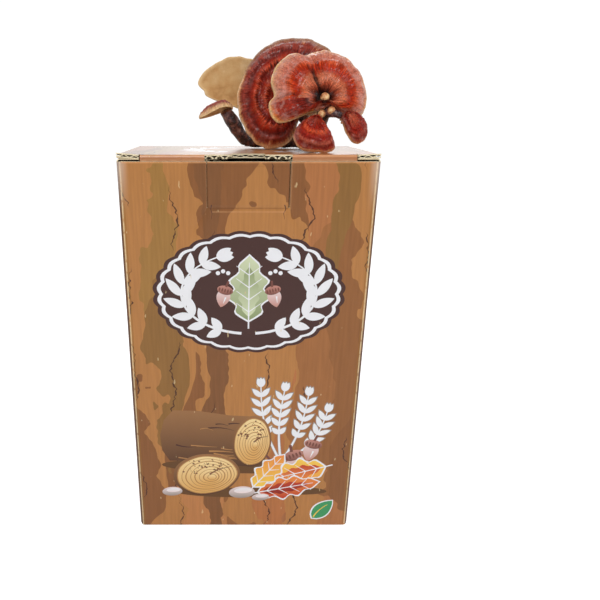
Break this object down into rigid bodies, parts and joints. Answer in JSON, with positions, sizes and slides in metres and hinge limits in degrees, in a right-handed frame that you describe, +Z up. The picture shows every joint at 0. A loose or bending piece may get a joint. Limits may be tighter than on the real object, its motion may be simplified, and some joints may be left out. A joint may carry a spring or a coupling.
{
  "type": "reishi mushroom grow kit",
  "caption": "Tall printed corrugated carton, lid tucked shut over its grow bag, with a picked cluster of red lacquered reishi resting on top.",
  "frame": {"origin": "centre of the carton's base, on the surface it stands on", "axes": "+Z up, +X to the right as seen from the front, the printed front faces -Y"},
  "size_m": [0.18, 0.11, 0.3926],
  "materials": {
    "printed_board": "corrugated board with a gloss-varnished brown bark print outside and plain kraft inside",
    "plain_board": "plain kraft corrugated board",
    "bagged_sawdust": "moist sawdust block in a thin clear film bag",
    "reishi_cap": "lacquered red-brown cap with salmon growing band, cream margin and cream pore side",
    "reishi_cap_dark": "glossy dark maroon cap with concentric ridges, cream margin and tan pore side",
    "reishi_stalk": "glossy brown-black lacquered stalk with cream buds"
  },
  "bodies": {
    "root": {"carton_body": "printed_board", "lid": "printed_board", "dust_flap_left": "printed_board", "dust_flap_right": "printed_board", "bottom_flap_left": "plain_board", "bottom_flap_right": "plain_board", "grow_bag": "bagged_sawdust", "front_stalk": "reishi_stalk", "rear_stalk": "reishi_stalk", "front_cap": "reishi_cap", "rear_cap": "reishi_cap_dark", "left_cap": "reishi_cap_dark", "edge_cap": "reishi_cap_dark", "middle_small_cap": "reishi_cap", "right_small_cap": "reishi_cap"}
  },
  "joints": []
}
